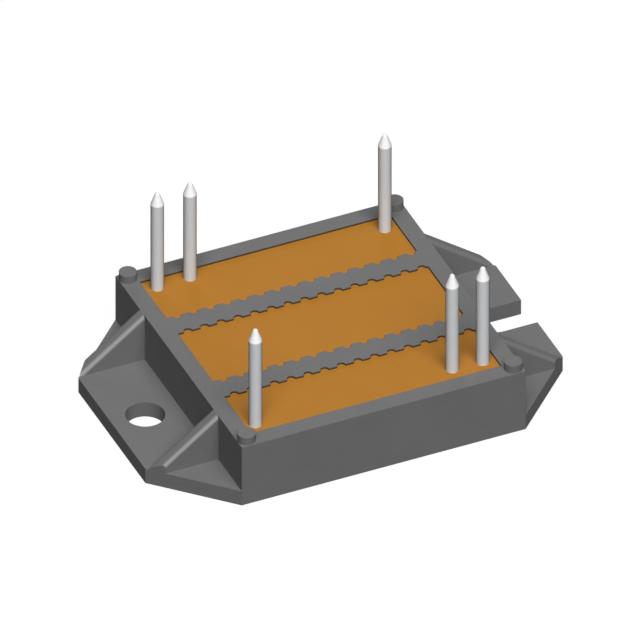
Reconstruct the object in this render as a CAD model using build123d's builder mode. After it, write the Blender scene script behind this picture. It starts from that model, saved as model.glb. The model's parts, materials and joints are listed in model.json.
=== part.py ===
from build123d import *
import os
from math import atan2, cos, hypot, radians, sin

# Low thyristor module for a circuit board: a moulded frame with two screw flanges, filled with potting
# compound, with two thyristor chips on a copper-clad ceramic in its floor and six pins standing out of it.
# The origin is the centre of the base, +Z is up and the flanges lie along X, with the round hole at -X.

# Housing frame
body_length = 34.0
body_width = 34.0
rim_top = 8.0
wall = 2.0
base_standout = 0.05

# Flanges, with a taper from the body's corners to their ends
flange_reach = 8.0
flange_end_width = 18.0
flange_top = 2.0
screw_hole_diameter = 4.4
screw_edge_distance = 4.0

# Gussets between the flanges and the body
gusset_from_end_corner = 0.1
gusset_thickness = 1.6
gusset_edge_radius = 0.5

# Stand-off studs on the rim
stud_diameter = 2.0
stud_height = 1.0
stud_edge_distance = 1.03

# Cross ribs with rows of half-round notches on both faces, each notch half of a twelve-sided round
rib_width = 3.0
rib_from_centre = 6.25
rib_wire_clearance = 0.27
notch_radius = 0.5
notch_sides = 12
notch_pitch = 2.0
back_row_centre = 0.25
front_row_centre = 1.05
front_row_count = 11
front_row_left_notches = (-13.75, -11.75)
front_row_right_notches = (12.65, 14.25)

# Potting compound
potting_recess = 0.3

# Ceramic substrate with copper on both sides
base_copper_thickness = 0.3
ceramic_thickness = 0.63
track_thickness = 0.3
pocket_wall = 1.0
ceramic_clearance = 0.2
base_copper_margin = 1.0
adhesive_thickness = 0.15
track_wall_clearance = 0.25
track_gap = 0.8
pad_gap = 0.6

# Pins, which stand on the tracks and pads in a regular pattern: three in each half, at the same places
# after half a turn
pin_diameter = 1.5
pin_tip = 20.7
pin_cone_height = 1.5
pin_tip_diameter = 0.5
pin_side_wall_gap = 0.65
pin_end_wall_gap = 0.85
pin_pitch = 3.9
pin_solder_thickness = 0.05
pin_solder_spread = 0.2
pin_solder_height = 0.7

# How far each pin stands off its place in the regular pattern, along X and along Y
pin_shifts = {
    "gate_pin_a": (0.1, 0.2),
    "auxiliary_cathode_pin_a": (0.2, 0.4),
    "power_pin_a": (-0.15, 0.05),
    "gate_pin_b": (-0.05, 0.2),
    "auxiliary_cathode_pin_b": (0.25, 0.35),
    "power_pin_b": (-0.05, -0.25),
}

# Thyristor chips
chip_side = 8.5
chip_thickness = 0.35
chip_solder_thickness = 0.1
chip_solder_margin = 0.1
chip_from_pads = 2.3

# Cathode clips: bent copper straps from each chip to the other half's track
clip_width = 4.4
clip_thickness = 0.4
clip_seat_length = 4.6
clip_foot_length = 1.2
clip_rise = 1.2
clip_bend_radius = 0.5
clip_solder_thickness = 0.05
clip_from_chip_edge = 2.4
clip_foot_from_gap = 0.6

# Bond wires
bond_wire_diameter = 0.3
bond_wire_sides = 8
bond_pitch = 1.7
bond_foot_length = 0.8
bond_foot_spread = 1.5
bond_wire_peak = 1.9
bond_edge_distance = 1.3

# Heights and places that follow from the sizes above
half_length = body_length / 2
half_width = body_width / 2
half_overall = half_length + flange_reach
cavity_length = body_length - 2 * wall
cavity_width = body_width - 2 * wall
screw_x = half_overall - screw_edge_distance
gusset_inner_face = flange_end_width / 2 + gusset_from_end_corner
ceramic_bottom = base_copper_thickness
ceramic_top = ceramic_bottom + ceramic_thickness
ledge_height = ceramic_top + adhesive_thickness
track_top = ceramic_top + track_thickness
chip_bottom = track_top + chip_solder_thickness
chip_top = chip_bottom + chip_thickness
rib_bottom = chip_top + bond_wire_peak + bond_wire_diameter / 2 + rib_wire_clearance
back_row_count = int((cavity_length - 2 * notch_radius) / notch_pitch) + 1
potting_top = rim_top - potting_recess
pocket_length = body_length - 2 * pocket_wall
pocket_width = body_width - 2 * pocket_wall
ceramic_length = pocket_length - 2 * ceramic_clearance
ceramic_width = pocket_width - 2 * ceramic_clearance
pin_radius = pin_diameter / 2
pin_bottom = track_top + pin_solder_thickness
outer_pin_x = cavity_length / 2 - pin_side_wall_gap - pin_radius
inner_pin_x = outer_pin_x - pin_pitch
pin_row_y = cavity_width / 2 - pin_end_wall_gap - pin_radius
track_edge_x = cavity_length / 2 - track_wall_clearance
track_edge_y = cavity_width / 2 - track_wall_clearance
pad_split_x = (outer_pin_x + inner_pin_x) / 2
pad_depth = 2 * (track_edge_y - pin_row_y) + pin_diameter
pad_front_y = track_edge_y - pad_depth
inner_pad_edge_x = 2 * inner_pin_x - pad_split_x - pad_gap / 2
chip_from_centre_x = (track_gap / 2 + track_edge_x) / 2
chip_from_centre_y = pad_front_y - pad_gap - chip_from_pads - chip_side / 2
clip_seat_x = -chip_from_centre_x - chip_side / 2 + clip_from_chip_edge
clip_foot_x = track_gap / 2 + clip_foot_from_gap

os.makedirs("parts", exist_ok=True)


def keep(piece, name):
    """Labels a finished piece and writes it to its own file."""
    piece.part.label = name
    export_step(piece.part, f"parts/{name}.step")


def level(height, turn=0):
    """A horizontal plane at a height, turned about the module's centre."""
    return Plane.XY.offset(height).rotated((0, 0, turn))


def turned(x, y, turn):
    """A place turned about the module's centre."""
    angle = radians(turn)
    return (x * cos(angle) - y * sin(angle), x * sin(angle) + y * cos(angle))


def row(centre, count, pitch):
    """Evenly spaced places about a centre."""
    return [centre + (place - (count - 1) / 2) * pitch for place in range(count)]


# Housing: outline of the flanges, from the body's corners to the ends
with BuildPart() as outline:
    with BuildSketch(level(base_standout)):
        with BuildLine():
            Polyline(
                (half_overall, -flange_end_width / 2),
                (half_overall, flange_end_width / 2),
                (half_length, half_width),
                (-half_length, half_width),
                (-half_overall, flange_end_width / 2),
                (-half_overall, -flange_end_width / 2),
                (-half_length, -half_width),
                (half_length, -half_width),
                close=True,
            )
        make_face()
    extrude(amount=rim_top - base_standout)

# Housing: four gussets, which slope from the rim to the flange ends and have rounded long edges
gusset_slope = (rim_top - flange_top) / (half_overall - half_length)
gusset_root_x = half_length - wall / 2
gusset_bottom = (base_standout + flange_top) / 2
with BuildPart() as gussets:
    with BuildSketch(Plane.XZ.offset(-gusset_inner_face)):
        with BuildLine():
            Polyline(
                (gusset_root_x, gusset_bottom),
                (half_overall, gusset_bottom),
                (half_overall, flange_top),
                (gusset_root_x, rim_top + gusset_slope * wall / 2),
                close=True,
            )
        make_face()
    extrude(amount=-gusset_thickness)
    sloped_face = faces().filter_by(lambda face: face.normal_at().X > 0.1 and face.normal_at().Z > 0.1)
    fillet(sloped_face.edges().filter_by(Axis.Y, reverse=True), radius=gusset_edge_radius)
    add(outline.part, mode=Mode.INTERSECT)
    mirror(about=Plane.XZ)
    mirror(about=Plane.YZ)

# Housing: the whole moulding
with BuildPart() as housing:
    with BuildSketch(level(base_standout)):
        add(outline.part.faces().sort_by(Axis.Z)[0])
    extrude(amount=flange_top - base_standout)
    with BuildSketch(level(base_standout)):
        Rectangle(body_length, body_width)
    extrude(amount=rim_top - base_standout)
    add(gussets.part)
    with BuildSketch(level(base_standout)):
        Rectangle(cavity_length, cavity_width)
    extrude(amount=rim_top - base_standout, mode=Mode.SUBTRACT)
    with BuildSketch(level(base_standout)):
        Rectangle(pocket_length, pocket_width)
    extrude(amount=ledge_height - base_standout, mode=Mode.SUBTRACT)
    with BuildSketch(level(rib_bottom)):
        with Locations((0, rib_from_centre), (0, -rib_from_centre)):
            Rectangle(cavity_length + wall, rib_width)
        back_row = row(back_row_centre, back_row_count, notch_pitch)
        front_row = row(front_row_centre, front_row_count, notch_pitch)
        front_row += front_row_left_notches + front_row_right_notches
        for rib_y, notches in ((rib_from_centre, back_row), (-rib_from_centre, front_row)):
            for face_y in (rib_y - rib_width / 2, rib_y + rib_width / 2):
                with Locations(*[(notch_x, face_y) for notch_x in notches]):
                    RegularPolygon(notch_radius, notch_sides, mode=Mode.SUBTRACT)
    extrude(amount=rim_top - rib_bottom)
    stud_spacing_x = body_length - 2 * stud_edge_distance
    stud_spacing_y = body_width - 2 * stud_edge_distance
    with BuildSketch(level(rim_top)):
        with GridLocations(stud_spacing_x, stud_spacing_y, 2, 2):
            Circle(stud_diameter / 2)
    extrude(amount=stud_height)
    with BuildSketch(level(base_standout)):
        with Locations((-screw_x, 0), (screw_x, 0)):
            Circle(screw_hole_diameter / 2)
        with Locations((screw_x, 0)):
            Rectangle(2 * screw_edge_distance, screw_hole_diameter, align=(Align.MIN, Align.CENTER))
    extrude(amount=flange_top - base_standout, mode=Mode.SUBTRACT)
keep(housing, "housing")

# Ceramic substrate and the copper sheet under it, which stands just proud of the frame
with BuildPart() as ceramic_substrate:
    with BuildSketch(level(ceramic_bottom)):
        Rectangle(ceramic_length, ceramic_width)
    extrude(amount=ceramic_thickness)
keep(ceramic_substrate, "ceramic_substrate")

with BuildPart() as base_copper:
    with BuildSketch(Plane.XY):
        Rectangle(ceramic_length - 2 * base_copper_margin, ceramic_width - 2 * base_copper_margin)
    extrude(amount=base_copper_thickness)
keep(base_copper, "base_copper")

# Adhesive bead that fills the step between the ceramic's edge and the frame
with BuildPart() as adhesive_bead:
    with BuildSketch(level(ceramic_bottom)):
        Rectangle(pocket_length, pocket_width)
        Rectangle(ceramic_length, ceramic_width, mode=Mode.SUBTRACT)
    extrude(amount=ledge_height - ceramic_bottom)
    with BuildSketch(level(ceramic_top)):
        Rectangle(pocket_length, pocket_width)
        Rectangle(cavity_length, cavity_width, mode=Mode.SUBTRACT)
    extrude(amount=adhesive_thickness)
keep(adhesive_bead, "adhesive_bead")


def main_track(turn):
    """Copper track for one half of the circuit, with a corner left free for the control pads."""
    with BuildPart() as track:
        with BuildSketch(level(ceramic_top, turn)):
            with Locations((-track_gap / 2, 0)):
                Rectangle(track_edge_x - track_gap / 2, 2 * track_edge_y, align=(Align.MAX, Align.CENTER))
            with Locations((-track_edge_x, track_edge_y)):
                Rectangle(
                    track_edge_x - inner_pad_edge_x + pad_gap,
                    pad_depth + pad_gap,
                    align=(Align.MIN, Align.MAX),
                    mode=Mode.SUBTRACT,
                )
        extrude(amount=track_thickness)
    return track


def control_pad(turn, inner_x, outer_x):
    """Small copper pad under one control pin."""
    with BuildPart() as pad:
        with BuildSketch(level(ceramic_top, turn)):
            with Locations((-outer_x, pad_front_y)):
                Rectangle(outer_x - inner_x, pad_depth, align=(Align.MIN, Align.MIN))
        extrude(amount=track_thickness)
    return pad


def square_layer(turn, side, bottom, thickness):
    """Square sheet centred on one chip's place."""
    with BuildPart() as layer:
        with BuildSketch(level(bottom, turn)):
            with Locations((-chip_from_centre_x, chip_from_centre_y)):
                Rectangle(side, side)
        extrude(amount=thickness)
    return layer


def contact_pin(x, y):
    """Round pin with a conical tip, turned about its own axis."""
    with BuildPart() as pin:
        with BuildSketch(Plane.XZ.offset(-y)):
            with BuildLine():
                Polyline(
                    (x, pin_bottom),
                    (x + pin_radius, pin_bottom),
                    (x + pin_radius, pin_tip - pin_cone_height),
                    (x + pin_tip_diameter / 2, pin_tip),
                    (x, pin_tip),
                    close=True,
                )
            make_face()
        revolve(axis=Axis((x, y, 0), (0, 0, 1)))
    return pin


def pin_solder(x, y, pin):
    """Solder joint round the foot of a pin, which runs up it to a thin edge."""
    with BuildPart() as solder:
        with BuildSketch(Plane.XZ.offset(-y)):
            with BuildLine():
                Polyline(
                    (x, track_top + pin_solder_height),
                    (x, track_top),
                    (x + pin_radius + pin_solder_spread, track_top),
                    (x + pin_radius, track_top + pin_solder_height),
                    close=True,
                )
            make_face()
        revolve(axis=Axis((x, y, 0), (0, 0, 1)))
        add(pin.part, mode=Mode.SUBTRACT)
    return solder


def clip_outline():
    """Centre line of a cathode clip, seen from the side with the chip on the left."""
    seat = chip_top + clip_solder_thickness + clip_thickness / 2
    foot = track_top + clip_solder_thickness + clip_thickness / 2
    bridge = seat + clip_rise
    seat_end_x = clip_seat_x + clip_seat_length
    return (
        (clip_seat_x, seat),
        (seat_end_x, seat),
        (seat_end_x + clip_rise, bridge),
        (clip_foot_x - (bridge - foot), bridge),
        (clip_foot_x, foot),
        (clip_foot_x + clip_foot_length, foot),
    )


def cathode_clip(turn):
    """Copper strap bent to sit on the chip, bridge the gap between the tracks and stand on the far one."""
    side_place = (*turned(0, chip_from_centre_y - clip_width / 2, turn), 0)
    side = Plane(origin=side_place, x_dir=(*turned(1, 0, turn), 0), z_dir=(*turned(0, -1, turn), 0))
    with BuildPart() as clip:
        with BuildSketch(side):
            with BuildLine():
                FilletPolyline(*clip_outline(), radius=clip_bend_radius)
            trace(line_width=clip_thickness)
        extrude(amount=-clip_width)
    return clip


def clip_solder(turn, left_x, length, bottom):
    """Thin solder layer under one end of a clip."""
    with BuildPart() as solder:
        with BuildSketch(level(bottom, turn)):
            with Locations((left_x, chip_from_centre_y)):
                Rectangle(length, clip_width, align=(Align.MIN, Align.CENTER))
        extrude(amount=clip_solder_thickness)
    return solder


def bond_wire(start, end):
    """Looped eight-sided wire between two bonds, each a place on a surface, with a flat foot at both."""
    run = hypot(end[0] - start[0], end[1] - start[1])
    heading = atan2(end[1] - start[1], end[0] - start[0])
    along = (cos(heading), sin(heading), 0)
    across = (sin(heading), -cos(heading), 0)
    wire_radius = bond_wire_diameter / 2
    end_rise = end[2] - start[2]
    peak = max(0, end_rise) + bond_wire_peak
    with BuildPart() as wire:
        with BuildLine(Plane(origin=start, x_dir=along, z_dir=across)) as route:
            Polyline((0, wire_radius), (run / 4, peak), (run / 2, peak), (run, end_rise + wire_radius))
        with BuildSketch(Plane(origin=route.line @ 0, z_dir=route.line % 0)):
            RegularPolygon(wire_radius, bond_wire_sides)
        sweep(path=route.line, transition=Transition.RIGHT)
        for place in (start, end):
            with BuildSketch(Plane(origin=place, x_dir=along, z_dir=(0, 0, 1))):
                Rectangle(bond_foot_length, bond_foot_spread * bond_wire_diameter)
            extrude(amount=bond_wire_diameter)
    return wire


# The two halves of the circuit are alike and face each other: half b is half a turned half a turn, but
# for the small shifts of its pins
embedded = [housing.part]
for half, turn in (("a", 0), ("b", 180)):
    track = main_track(turn)
    keep(track, f"copper_track_{half}")
    gate_pad = control_pad(turn, pad_split_x + pad_gap / 2, track_edge_x)
    keep(gate_pad, f"gate_pad_{half}")
    cathode_pad = control_pad(turn, inner_pad_edge_x, pad_split_x - pad_gap / 2)
    keep(cathode_pad, f"auxiliary_cathode_pad_{half}")

    solder_side = chip_side + 2 * chip_solder_margin
    chip_solder = square_layer(turn, solder_side, track_top, chip_solder_thickness)
    keep(chip_solder, f"chip_solder_{half}")
    chip = square_layer(turn, chip_side, chip_bottom, chip_thickness)
    keep(chip, f"thyristor_chip_{half}")
    embedded += [track.part, gate_pad.part, cathode_pad.part, chip_solder.part, chip.part]

    # Clip from the chip's cathode across the gap to the other half's track, soldered at both ends
    clip = cathode_clip(turn)
    keep(clip, f"cathode_clip_{half}")
    seat_solder = clip_solder(turn, clip_seat_x, clip_seat_length, chip_top)
    keep(seat_solder, f"clip_seat_solder_{half}")
    foot_solder = clip_solder(turn, clip_foot_x, clip_foot_length, track_top)
    keep(foot_solder, f"clip_foot_solder_{half}")
    embedded += [clip.part, seat_solder.part, foot_solder.part]

    # Thin wires from the gate in the chip's corner and from its cathode to the two control pads
    bond_y = chip_from_centre_y + chip_side / 2 - bond_edge_distance
    gate_x = -chip_from_centre_x - chip_side / 2 + bond_edge_distance
    landing_y = pad_front_y + bond_edge_distance / 2
    for name, start_x, end_x in (
        ("gate_wire", gate_x, -outer_pin_x + pin_radius),
        ("auxiliary_cathode_wire", gate_x + bond_pitch, -inner_pin_x),
    ):
        start = (*turned(start_x, bond_y, turn), chip_top)
        end = (*turned(end_x, landing_y, turn), track_top)
        wire = bond_wire(start, end)
        keep(wire, f"{name}_{half}")
        embedded.append(wire.part)

    for name, pin_x, pin_y in (
        ("gate_pin", -outer_pin_x, pin_row_y),
        ("auxiliary_cathode_pin", -inner_pin_x, pin_row_y),
        ("power_pin", -outer_pin_x, -pin_row_y),
    ):
        pattern_x, pattern_y = turned(pin_x, pin_y, turn)
        shift_x, shift_y = pin_shifts[f"{name}_{half}"]
        place = (pattern_x + shift_x, pattern_y + shift_y)
        pin = contact_pin(*place)
        keep(pin, f"{name}_{half}")
        solder = pin_solder(*place, pin)
        keep(solder, f"{name}_solder_{half}")
        embedded += [pin.part, solder.part]

# Potting compound: one casting that fills the frame and runs under the ribs and round all it covers
with BuildPart() as potting_compound:
    with BuildSketch(level(ceramic_top)):
        Rectangle(cavity_length, cavity_width)
    extrude(amount=potting_top - ceramic_top)
    add(embedded, mode=Mode.SUBTRACT)
keep(potting_compound, "potting_compound")
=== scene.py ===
import json
from math import cos, radians, sin

import bmesh
import bpy
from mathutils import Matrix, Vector


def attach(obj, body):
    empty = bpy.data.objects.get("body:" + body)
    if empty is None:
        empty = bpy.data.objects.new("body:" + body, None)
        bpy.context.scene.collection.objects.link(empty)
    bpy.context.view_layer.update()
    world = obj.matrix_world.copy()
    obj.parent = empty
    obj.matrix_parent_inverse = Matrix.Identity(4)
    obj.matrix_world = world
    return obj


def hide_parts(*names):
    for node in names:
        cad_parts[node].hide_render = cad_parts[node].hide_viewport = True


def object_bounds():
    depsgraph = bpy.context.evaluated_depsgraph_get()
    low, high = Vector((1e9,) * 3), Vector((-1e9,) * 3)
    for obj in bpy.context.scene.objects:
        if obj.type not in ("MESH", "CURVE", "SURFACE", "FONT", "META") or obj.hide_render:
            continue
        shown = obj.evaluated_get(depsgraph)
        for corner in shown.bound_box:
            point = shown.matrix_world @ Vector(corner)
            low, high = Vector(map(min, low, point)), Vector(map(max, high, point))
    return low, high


# Looks of a low thyristor module: a dark moulded frame, cast resin between its ribs and six tinned pins.
# Everything is in metres. Colours are linear.

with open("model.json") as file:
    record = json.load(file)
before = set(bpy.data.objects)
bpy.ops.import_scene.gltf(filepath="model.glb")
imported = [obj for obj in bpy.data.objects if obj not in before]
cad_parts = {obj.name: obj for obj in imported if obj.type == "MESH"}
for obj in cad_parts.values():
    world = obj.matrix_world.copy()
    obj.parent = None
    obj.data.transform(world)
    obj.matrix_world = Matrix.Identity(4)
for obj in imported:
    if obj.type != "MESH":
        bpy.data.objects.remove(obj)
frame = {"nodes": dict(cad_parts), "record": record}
cad_low, cad_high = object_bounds()
nodes = frame["nodes"]
MM = 0.001

# Moulded frame: what its material rounds its sharp edges by and how finely, and how its mesh is cleaned
MOULD_EDGE_RADIUS = 0.05 * MM
MOULD_EDGE_SAMPLES = 8
SHARP_ANGLE = radians(35)
MERGE_DISTANCE = 0.0005 * MM
FLAT_ANGLE = radians(0.5)

# A face is part of a rounding or a bore where its area divided by its outline is under the first value, and
# is level where its normal's height is over the second
NARROW_FACE = 0.2 * MM
LEVEL_FACE = 0.999

# Painted highlight on the fillets' crests: the least height of a highlighted face's normal, how fast the
# painted highlight grows as a face leans to the front and up, and its share at the slot's end beside the
# hole's
CREST_LEAN = 0.1
CREST_GAIN = 3.0
SLOT_END_HIGHLIGHT = 0.1

# Painted highlight at full strength: how far it turns the plastic to a lighter grey, and how glossy it
# makes it
HIGHLIGHT_LIGHTENING = 0.32
HIGHLIGHT_GREY = 0.42
HIGHLIGHT_GLOSS = 0.8

# Painted shade inside the frame: its half width, the heights between which its walls are painted near black
# as shade, and how far the painted shade covers the plastic
CAVITY_HALF = 15.1 * MM
PAINTED_SHADE_LOW = 4.5 * MM
PAINTED_SHADE_HIGH = 7.93 * MM
PAINTED_SHADE_COVER = 0.8

# Turned pins: the sizes of the cone, the tip and their roundings, how finely a pin is divided, and how many
# shoulder roundings under the cone its close rings begin
PIN_CONE_HEIGHT = 1.5 * MM
PIN_SHOULDER_HEIGHT = cad_high.z - PIN_CONE_HEIGHT
PIN_TIP_RADIUS = 0.22 * MM
PIN_SHOULDER_ROUNDING = 0.03 * MM
PIN_TIP_ROUNDING = 0.07 * MM
PIN_RINGS = 26
PIN_SIDES = 48
CLOSE_RINGS_BEGIN = 4

# Tinted clear coat on the pins that paints shade towards their edges: the share of the light that it lets
# through, and how much less of it the tip has, as part of the tip's painted highlight
EDGE_SHADE_FILM_TINT = 0.8
FILM_CUT_FOR_TIP_HIGHLIGHT = 0.6

# Camera: parallel projection, turned and raised as in the photograph
VIEW_AZIMUTH = radians(-24.0)
VIEW_ELEVATION = radians(37.2)
PICTURE_SIDE = 70.02 * MM
ORIGIN_RIGHT_OF_CENTRE = 0.06 * MM
ORIGIN_BELOW_CENTRE = 6.76 * MM
CAMERA_DISTANCE = 0.4
CAMERA_NEAR = 0.01
CAMERA_FAR = 10.0

# Light: each direction points from the object to its lamp
WHITE = (1.0, 1.0, 1.0, 1.0)
KEY_DIRECTION = Vector((-0.14, -0.56, 0.83))
KEY_STRENGTH = 3.93
KEY_SPREAD = radians(46)
BACK_DIRECTION = Vector((0.2, 0.95, 0.15))
BACK_STRENGTH = 0.9
BACK_SPREAD = radians(40)
UNDER_DIRECTION = Vector((0.1, 0.1, -1.0))
UNDER_STRENGTH = 1.6
UNDER_SPREAD = radians(30)
SKY_STRENGTH = 0.01
FLOOR_SIDE = 6.0
FLOOR_DROP = 0.02 * MM
FLOOR_GLOW = 0.96
FLOOR_GREY = 0.045


class Field:
    """A number that changes over a surface or along a curve. Python's operators on it add maths nodes."""

    def __init__(self, tree, socket):
        self.tree = tree
        self.socket = socket

    def joined(self, operation, first, second):
        """The result of one operation on two numbers, of which either may be a field."""
        return self.tree.node("ShaderNodeMath", {"operation": operation}, {0: first, 1: second})

    def __add__(self, other):
        return self.joined("ADD", self, other)

    def __radd__(self, other):
        return self.joined("ADD", other, self)

    def __sub__(self, other):
        return self.joined("SUBTRACT", self, other)

    def __rsub__(self, other):
        return self.joined("SUBTRACT", other, self)

    def __mul__(self, other):
        return self.joined("MULTIPLY", self, other)

    def __rmul__(self, other):
        return self.joined("MULTIPLY", other, self)

    def __truediv__(self, other):
        return self.joined("DIVIDE", self, other)

    def __rtruediv__(self, other):
        return self.joined("DIVIDE", other, self)

    def __lt__(self, other):
        return self.joined("LESS_THAN", self, other)

    def __gt__(self, other):
        return self.joined("GREATER_THAN", self, other)


class Tree:
    """A node tree of any kind."""

    def __init__(self, tree):
        self.tree = tree
        self.tree.nodes.clear()

    def node(self, kind, settings=None, sockets=None, output=0):
        """Adds a node, sets its settings and then its sockets, and wraps one of its outputs."""
        made = self.tree.nodes.new(kind)
        for name, value in (settings or {}).items():
            setattr(made, name, value)
        for key, value in (sockets or {}).items():
            if isinstance(value, Field):
                self.tree.links.new(value.socket, made.inputs[key])
            else:
                made.inputs[key].default_value = value
        return Field(self, made.outputs[output]) if made.outputs else None


class Finish(Tree):
    """One material and its node tree."""

    def __init__(self, name):
        self.material = bpy.data.materials.new(name)
        self.material.use_nodes = True
        super().__init__(self.material.node_tree)

    def place(self):
        """The point on the piece, in metres."""
        return self.node("ShaderNodeTexCoord", output="Object")

    def along(self, place, axis):
        """One coordinate of a place."""
        return self.node("ShaderNodeSeparateXYZ", sockets={"Vector": place}, output=axis)

    def size_of(self, field):
        """A field without its sign."""
        return self.node("ShaderNodeMath", {"operation": "ABSOLUTE"}, {0: field})

    def noise(self, place, size, detail=2.0, roughness=0.5):
        """Cloudy noise about 0.5, with blotches of the given size in metres."""
        sockets = {"Vector": place, "Scale": 1 / size, "Detail": detail, "Roughness": roughness}
        return self.node("ShaderNodeTexNoise", {"noise_dimensions": "3D"}, sockets)

    def stretched(self, place, x=1.0, y=1.0, z=1.0):
        """The place scaled on each axis."""
        sockets = {"Vector": place, "Scale": (x, y, z)}
        return self.node("ShaderNodeMapping", {"vector_type": "POINT"}, sockets)

    def tint(self, share, first, second):
        """Mix of two colours by a field. Either colour may itself be mixed."""
        ends = [end if isinstance(end, Field) else (*end, 1.0) for end in (first, second)]
        settings = {"data_type": "RGBA", "blend_type": "MIX"}
        return self.node("ShaderNodeMix", settings, {"Factor": share, 6: ends[0], 7: ends[1]}, output=2)

    def bump(self, height, distance, strength=1.0, below=None):
        """Relief of the given depth in metres, on top of another relief if there is one."""
        sockets = {"Height": height, "Distance": distance, "Strength": strength}
        if below is not None:
            sockets["Normal"] = below
        return self.node("ShaderNodeBump", sockets=sockets)

    def surface(self, sockets):
        """Closes the material with its shader."""
        shader = self.node("ShaderNodeBsdfPrincipled", sockets=sockets)
        self.node("ShaderNodeOutputMaterial", sockets={"Surface": shader})
        return self.material


class Shape(Tree):
    """A Geometry Nodes tree whose sizes are named inputs."""

    def __init__(self, name):
        self.group = bpy.data.node_groups.new(name, "GeometryNodeTree")
        super().__init__(self.group)
        self.group.interface.new_socket("Geometry", in_out="OUTPUT", socket_type="NodeSocketGeometry")
        self.inputs = self.group.nodes.new("NodeGroupInput")

    def size(self, name):
        """A named length in metres."""
        self.group.interface.new_socket(name, in_out="INPUT", socket_type="NodeSocketFloat")
        return Field(self, self.inputs.outputs[name])

    def vector(self, x, y, z):
        """A place from its three coordinates."""
        return self.node("ShaderNodeCombineXYZ", sockets={"X": x, "Y": y, "Z": z})

    def close(self, geometry, material):
        """Ends the tree with plain geometry that wears one material."""
        plain = self.node("GeometryNodeRealizeInstances", sockets={"Geometry": geometry})
        coated = self.node("GeometryNodeSetMaterial", sockets={"Geometry": plain, "Material": material})
        self.node("NodeGroupOutput", sockets={"Geometry": coated})

    def mesh(self, sizes):
        """Runs the tree with the given sizes and returns a plain mesh."""
        host = bpy.data.objects.new("host", bpy.data.meshes.new("host"))
        bpy.context.scene.collection.objects.link(host)
        maker = host.modifiers.new("maker", "NODES")
        maker.node_group = self.group
        for item in self.group.interface.items_tree:
            if item.in_out == "INPUT":
                maker[item.identifier] = sizes[item.name]
        shown = bpy.context.evaluated_depsgraph_get()
        made = bpy.data.meshes.new_from_object(host.evaluated_get(shown))
        bpy.data.objects.remove(host)
        return made


def grey(value):
    """A colour without a hue."""
    return (value, value, value)


def moulded_plastic():
    """Dark grey glass-filled plastic, finely eroded, clouded by its flow, with painted highlights and gloss
    on crests.
    """
    finish = Finish("dark_moulded_plastic")
    place = finish.place()
    clouds = finish.noise(place, 6 * MM, detail=3.0)
    grain = finish.noise(place, 0.22 * MM, detail=3.0, roughness=0.65)
    flow = finish.noise(finish.stretched(place, y=4.0, z=4.0), 2.5 * MM, detail=4.0, roughness=0.6)
    shade = 0.5 * clouds + 0.3 * flow + 0.2 * grain
    colour = finish.tint(shade, (0.137, 0.1375, 0.138), (0.177, 0.1775, 0.178))
    # Painted highlight: crests that lean to the front and up are turned lighter, and given gloss below
    painted_highlight = finish.node("ShaderNodeAttribute", {"attribute_name": "painted_highlight"}, output="Fac")
    highlighted = finish.tint(HIGHLIGHT_LIGHTENING * painted_highlight, colour, grey(HIGHLIGHT_GREY))
    across = finish.size_of(finish.along(place, "X"))
    deep = finish.size_of(finish.along(place, "Y"))
    height = finish.along(place, "Z")
    # Painted shade: the walls inside the frame, round and just above the resin, are turned near black
    painted_shade_mask = (across < CAVITY_HALF) * (deep < CAVITY_HALF) * (height > PAINTED_SHADE_LOW) * (height < PAINTED_SHADE_HIGH)
    with_painted_shade = finish.tint(PAINTED_SHADE_COVER * painted_shade_mask, highlighted, (0.04, 0.03, 0.02))
    rounded = finish.node("ShaderNodeBevel", {"samples": MOULD_EDGE_SAMPLES}, {"Radius": MOULD_EDGE_RADIUS})
    return finish.surface({
        "Base Color": with_painted_shade,
        "Roughness": 0.62 + 0.1 * grain + 0.06 * clouds,
        "Specular IOR Level": 0.02,
        "Coat Weight": HIGHLIGHT_GLOSS * painted_highlight,
        "Coat Roughness": 0.45,
        "Coat IOR": 1.6,
        "Normal": finish.bump(grain, 0.02 * MM, 0.6, below=rounded),
    })


def cast_resin():
    """Orange-brown potting resin: a level, satin casting with slow clouds and fine specks."""
    finish = Finish("cast_resin")
    place = finish.place()
    clouds = finish.noise(place, 5 * MM, detail=4.0, roughness=0.6)
    specks = finish.noise(place, 0.35 * MM, detail=3.0, roughness=0.7)
    colour = finish.tint(0.6 * clouds + 0.4 * specks, (0.36, 0.148, 0.017), (0.43, 0.187, 0.026))
    level = finish.bump(clouds, 0.05 * MM, 0.25)
    return finish.surface({
        "Base Color": colour,
        "Roughness": 0.5 + 0.16 * clouds + 0.06 * specks,
        "Specular IOR Level": 0.1,
        "Normal": finish.bump(specks, 0.01 * MM, 0.5, below=level),
    })


def tinned_metal():
    """Matt tin plating with fine lines along the shank, a tinted coat painting shade at the edges, and a
    painted highlight at the tip.
    """
    finish = Finish("tinned_metal")
    place = finish.place()
    lines = finish.noise(finish.stretched(place, z=0.04), 0.09 * MM, detail=3.0, roughness=0.6)
    clouds = finish.noise(place, 1.2 * MM, detail=3.0)
    shank = finish.tint(0.5 * lines + 0.5 * clouds, (0.80, 0.822, 0.845), (0.90, 0.922, 0.945))
    # Painted highlight: the tip above the shoulder is turned near white and keeps less of the coat
    tip = finish.along(place, "Z") > PIN_SHOULDER_HEIGHT
    return finish.surface({
        "Base Color": finish.tint(tip, shank, grey(0.98)),
        "Metallic": 0.03,
        "Roughness": 0.42 + 0.12 * clouds + 0.06 * lines,
        "Specular IOR Level": 0.0,
        # The tinted coat darkens the pins most towards their edges: painted shade
        "Coat Weight": 1 - FILM_CUT_FOR_TIP_HIGHLIGHT * tip,
        "Coat IOR": 1.0,
        "Coat Tint": (*grey(EDGE_SHADE_FILM_TINT), 1.0),
        "Normal": finish.bump(lines, 0.006 * MM, 0.5),
    })


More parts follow.
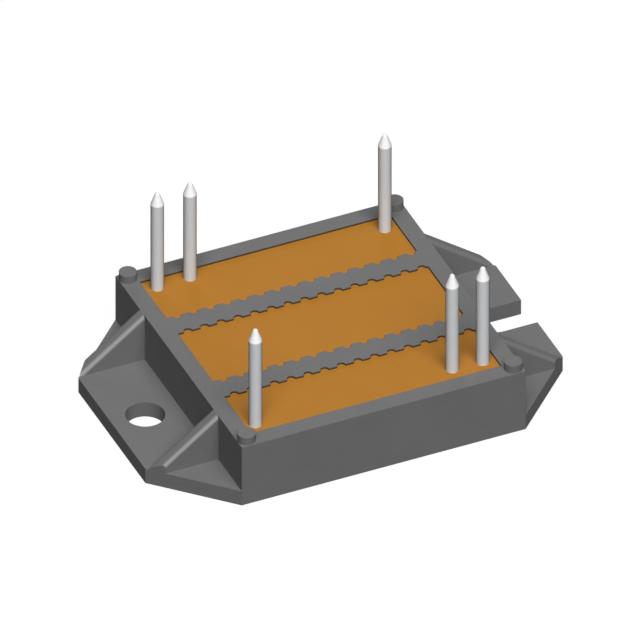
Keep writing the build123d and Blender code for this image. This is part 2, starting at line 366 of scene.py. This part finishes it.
def bare_copper():
    """Rolled copper with fine grain and faint tarnish."""
    finish = Finish("bare_copper")
    place = finish.place()
    grain = finish.noise(place, 0.25 * MM, detail=4.0, roughness=0.7)
    lines = finish.noise(finish.stretched(place, x=0.05), 0.12 * MM, detail=2.0)
    tarnish = finish.noise(place, 7 * MM, detail=5.0, roughness=0.65)
    return finish.surface({
        "Base Color": finish.tint(0.7 * tarnish + 0.3 * grain, (0.78, 0.40, 0.26), (0.56, 0.25, 0.15)),
        "Metallic": 1.0,
        "Roughness": 0.3 + 0.2 * tarnish + 0.1 * grain,
        "Normal": finish.bump(0.6 * grain + 0.4 * lines, 0.008 * MM, 0.5),
    })


def alumina():
    """Off-white sintered ceramic."""
    finish = Finish("alumina")
    place = finish.place()
    grain = finish.noise(place, 0.15 * MM, detail=3.0, roughness=0.7)
    clouds = finish.noise(place, 4 * MM)
    return finish.surface({
        "Base Color": finish.tint(0.5 * clouds + 0.5 * grain, (0.76, 0.74, 0.69), (0.86, 0.84, 0.8)),
        "Roughness": 0.5 + 0.2 * grain,
        "Normal": finish.bump(grain, 0.01 * MM, 0.5),
    })


def soft_solder():
    """Grey solder with a slightly frosted skin."""
    finish = Finish("soft_solder")
    frost = finish.noise(finish.place(), 0.2 * MM, detail=4.0, roughness=0.7)
    return finish.surface({
        "Base Color": finish.tint(frost, grey(0.42), grey(0.6)),
        "Metallic": 0.9,
        "Roughness": 0.3 + 0.25 * frost,
        "Normal": finish.bump(frost, 0.01 * MM, 0.5),
    })


def silicon_chip():
    """Dark silicon with a metallised face."""
    finish = Finish("silicon_chip")
    grain = finish.noise(finish.place(), 0.4 * MM)
    return finish.surface({
        "Base Color": finish.tint(grain, (0.10, 0.11, 0.13), (0.16, 0.17, 0.19)),
        "Metallic": 0.6,
        "Roughness": 0.15 + 0.1 * grain,
    })


def drawn_wire():
    """Bright aluminium bond wire."""
    finish = Finish("drawn_wire")
    lines = finish.noise(finish.place(), 0.08 * MM, detail=3.0)
    return finish.surface({
        "Base Color": finish.tint(lines, grey(0.72), grey(0.85)),
        "Metallic": 1.0,
        "Roughness": 0.25 + 0.15 * lines,
        "Normal": finish.bump(lines, 0.004 * MM, 0.5),
    })


def set_adhesive():
    """Dark rubbery bead of adhesive."""
    finish = Finish("set_adhesive")
    ripples = finish.noise(finish.place(), 0.8 * MM)
    return finish.surface({
        "Base Color": finish.tint(ripples, grey(0.06), grey(0.11)),
        "Roughness": 0.45 + 0.2 * ripples,
        "Normal": finish.bump(ripples, 0.05 * MM, 0.5),
    })


FINISHES = {
    "housing_plastic": moulded_plastic(),
    "potting_resin": cast_resin(),
    "tinned_pin": tinned_metal(),
    "ceramic": alumina(),
    "copper": bare_copper(),
    "solder": soft_solder(),
    "silicon": silicon_chip(),
    "bond_wire": drawn_wire(),
    "adhesive": set_adhesive(),
}
SLOT_OF = {row["node"]: row["material_slot"] for row in frame["record"]["subparts"]}


def coat(piece, material):
    """Gives a piece its one finish, in its object's slot."""
    if not piece.material_slots:
        piece.data.materials.append(None)
    for slot in piece.material_slots:
        slot.link = "OBJECT"
        slot.material = material


def new_piece(name, mesh, node_name):
    """A finished mesh that stands for a node of the frame, with that node's finish."""
    slot = SLOT_OF[node_name]
    mesh.materials.clear()
    mesh.materials.append(FINISHES[slot])
    piece = bpy.data.objects.new(name, mesh)
    bpy.context.scene.collection.objects.link(piece)
    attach(piece, "root")
    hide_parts(node_name)
    return piece


def breadth(mesh, face):
    """A face's area divided by its outline, which is about half its width on a long face."""
    outline = sum((mesh.vertices[a].co - mesh.vertices[b].co).length for a, b in face.edge_keys)
    return face.area / outline


def mark_painted_highlights(mesh, faces):
    """Stores a painted highlight on each face: on those that lean to the front and up, and most at the
    hole's end.
    """
    normals = [corner.vector.copy() for corner in mesh.corner_normals]
    painted_highlight = mesh.attributes.new("painted_highlight", "FLOAT", "CORNER")
    for face in faces:
        for corner in face.loop_indices:
            normal = normals[corner]
            front = max(0.0, -normal.y)
            lean = min(1.0, max(0.0, CREST_GAIN * front * front * normal.z))
            # The painted highlight is mostly at the hole's end
            highlight_share = 1.0 if normal.x < 0 else SLOT_END_HIGHLIGHT
            painted_highlight.data[corner].value = lean * highlight_share


def moulded_frame():
    """The frame as one clean mesh with its fillets, bores and studs shaded smooth."""
    mesh = nodes["housing"].data.copy()
    work = bmesh.new()
    work.from_mesh(mesh)
    bmesh.ops.remove_doubles(work, verts=work.verts, dist=MERGE_DISTANCE)
    bmesh.ops.dissolve_limit(work, angle_limit=FLAT_ANGLE, verts=work.verts, edges=work.edges)
    for edge in work.edges:
        edge.smooth = edge.calc_face_angle() < SHARP_ANGLE
    work.to_mesh(mesh)
    work.free()
    for face in mesh.polygons:
        face.use_smooth = breadth(mesh, face) < NARROW_FACE and abs(face.normal.z) < LEVEL_FACE
    # Smooth faces that lean up get the painted highlight
    mark_painted_highlights(mesh, [face for face in mesh.polygons if face.use_smooth and face.normal.z > CREST_LEAN])
    new_piece("moulded_frame", mesh, "housing")


def pin_shape():
    """Tree for a pin turned about an upright line: a shank, a rounded shoulder, a cone and a blunt tip."""
    shape = Shape("turned_pin")
    x = shape.size("place across")
    y = shape.size("place along")
    foot = shape.size("foot height")
    top = shape.size("tip height")
    radius = shape.size("shank radius")
    tip_radius = shape.size("tip radius")
    cone = shape.size("cone height")
    shoulder_rounding = shape.size("shoulder rounding")
    tip_rounding = shape.size("tip rounding")

    # Rings: one at the foot, the others close together from just under the shoulder to the tip
    line = shape.node("GeometryNodeCurvePrimitiveLine", sockets={
        "Start": shape.vector(x, y, foot), "End": shape.vector(x, y, top)})
    rings = shape.node("GeometryNodeResampleCurve", sockets={"Curve": line, "Count": PIN_RINGS})
    ring = shape.node("GeometryNodeInputIndex")
    start = top - cone - CLOSE_RINGS_BEGIN * shoulder_rounding
    share = (ring - 1) / (PIN_RINGS - 2)
    height = foot + (ring > 0.5) * (start - foot + share * (top - start))
    spread = shape.node("GeometryNodeSetPosition", sockets={
        "Geometry": rings, "Position": shape.vector(x, y, height)})

    # Radius: the smaller of the shank and the cone, taken in a little at the edge of the tip
    cone_radius = tip_radius + (top - height) * (radius - tip_radius) / cone
    body = shape.node("ShaderNodeMath", {"operation": "SMOOTH_MIN"}, {
        0: radius, 1: cone_radius, 2: shoulder_rounding})
    into_tip = (height - top + tip_rounding) / tip_rounding
    into_tip = shape.node("ShaderNodeClamp", sockets={"Value": into_tip})
    kept = shape.node("ShaderNodeMath", {"operation": "SQRT"}, {0: 1 - into_tip * into_tip})
    outline = body - tip_rounding * (1 - kept)
    circle = shape.node("GeometryNodeCurvePrimitiveCircle", {"mode": "RADIUS"}, {
        "Resolution": PIN_SIDES, "Radius": 1.0})
    solid = shape.node("GeometryNodeCurveToMesh", sockets={
        "Curve": spread, "Profile Curve": circle, "Scale": outline, "Fill Caps": True})
    smooth = shape.node("GeometryNodeSetShadeSmooth", sockets={"Geometry": solid, "Shade Smooth": True})
    shape.close(smooth, FINISHES["tinned_pin"])
    return shape


def turned_pins():
    """A turned pin in the place of each plain one."""
    shape = pin_shape()
    for name, node in nodes.items():
        if SLOT_OF[name] != "tinned_pin":
            continue
        corners = [vertex.co for vertex in node.data.vertices]
        low = Vector([min(corner[axis] for corner in corners) for axis in range(3)])
        high = Vector([max(corner[axis] for corner in corners) for axis in range(3)])
        mesh = shape.mesh({
            "place across": (low.x + high.x) / 2,
            "place along": (low.y + high.y) / 2,
            "foot height": low.z,
            "tip height": high.z,
            "shank radius": (high.x - low.x) / 2,
            "tip radius": PIN_TIP_RADIUS,
            "cone height": PIN_CONE_HEIGHT,
            "shoulder rounding": PIN_SHOULDER_ROUNDING,
            "tip rounding": PIN_TIP_ROUNDING,
        })
        new_piece("turned_" + name, mesh, name)


def set_camera():
    """Camera at the photograph's angle, in parallel projection."""
    data = bpy.data.cameras.new("camera")
    data.type = "ORTHO"
    data.ortho_scale = PICTURE_SIDE
    data.clip_start = CAMERA_NEAR
    data.clip_end = CAMERA_FAR
    camera = bpy.data.objects.new("camera", data)
    bpy.context.scene.collection.objects.link(camera)
    back = Vector((
        sin(VIEW_AZIMUTH) * cos(VIEW_ELEVATION),
        -cos(VIEW_AZIMUTH) * cos(VIEW_ELEVATION),
        sin(VIEW_ELEVATION),
    ))
    turn = (-back).to_track_quat("-Z", "Y")
    right = turn @ Vector((1, 0, 0))
    up = turn @ Vector((0, 1, 0))
    aim = up * ORIGIN_BELOW_CENTRE - right * ORIGIN_RIGHT_OF_CENTRE
    camera.rotation_mode = "QUATERNION"
    camera.rotation_quaternion = turn
    camera.location = aim + back * CAMERA_DISTANCE
    bpy.context.scene.camera = camera


def hang_lamp(name, direction, strength, spread):
    """A distant soft lamp that shines from a direction."""
    data = bpy.data.lights.new(name, "SUN")
    data.energy = strength
    data.angle = spread
    lamp = bpy.data.objects.new(name, data)
    lamp.rotation_mode = "QUATERNION"
    lamp.rotation_quaternion = (-direction).to_track_quat("-Z", "Y")
    bpy.context.scene.collection.objects.link(lamp)


def seen_directly(tree):
    """One for rays from the camera and for rays that mirror or pass through something, else zero."""
    rays = [tree.node("ShaderNodeLightPath", output=name) for name in (
        "Is Camera Ray", "Is Glossy Ray", "Is Transmission Ray")]
    return rays[0] + rays[1] + rays[2]


def set_light():
    """A key lamp above the front, weak ones behind and below, and a faint sky before a white backdrop."""
    hang_lamp("key_light", KEY_DIRECTION, KEY_STRENGTH, KEY_SPREAD)
    hang_lamp("back_light", BACK_DIRECTION, BACK_STRENGTH, BACK_SPREAD)
    hang_lamp("under_light", UNDER_DIRECTION, UNDER_STRENGTH, UNDER_SPREAD)
    world = bpy.data.worlds.new("sky")
    world.use_nodes = True
    sky = Tree(world.node_tree)
    faint = sky.node("ShaderNodeBackground", sockets={"Color": WHITE, "Strength": SKY_STRENGTH})
    white = sky.node("ShaderNodeBackground", sockets={"Color": WHITE, "Strength": 1.0})
    chosen = sky.node("ShaderNodeMixShader", sockets={"Fac": seen_directly(sky), 1: faint, 2: white})
    sky.node("ShaderNodeOutputWorld", sockets={"Surface": chosen})
    bpy.context.scene.world = world


def lay_floor():
    """White floor that keeps a faint shadow. It is clear from below, and to the light of the lower lamp."""
    finish = Finish("white_floor")
    matt = finish.node("ShaderNodeBsdfDiffuse", sockets={"Color": (*grey(FLOOR_GREY), 1.0)})
    glow = finish.node("ShaderNodeEmission", sockets={
        "Color": WHITE, "Strength": seen_directly(finish) * FLOOR_GLOW})
    both = finish.node("ShaderNodeAddShader", sockets={0: matt, 1: glow})
    clear = finish.node("ShaderNodeBsdfTransparent")
    below = finish.node("ShaderNodeNewGeometry", output="Backfacing")
    passing = finish.node("ShaderNodeLightPath", output="Is Shadow Ray")
    shown = finish.node("ShaderNodeMixShader", sockets={"Fac": below + passing, 1: both, 2: clear})
    finish.node("ShaderNodeOutputMaterial", sockets={"Surface": shown})
    mesh = bpy.data.meshes.new("floor")
    side = FLOOR_SIDE / 2
    height = cad_low.z - FLOOR_DROP
    corners = [(-side, -side, height), (side, -side, height), (side, side, height), (-side, side, height)]
    mesh.from_pydata(corners, [], [(0, 1, 2, 3)])
    mesh.materials.append(finish.material)
    floor = bpy.data.objects.new("floor", mesh)
    bpy.context.scene.collection.objects.link(floor)


for node_name, node in nodes.items():
    coat(node, FINISHES[SLOT_OF[node_name]])
moulded_frame()
turned_pins()
set_camera()
set_light()
lay_floor()
bpy.context.scene.view_settings.view_transform = "Standard"
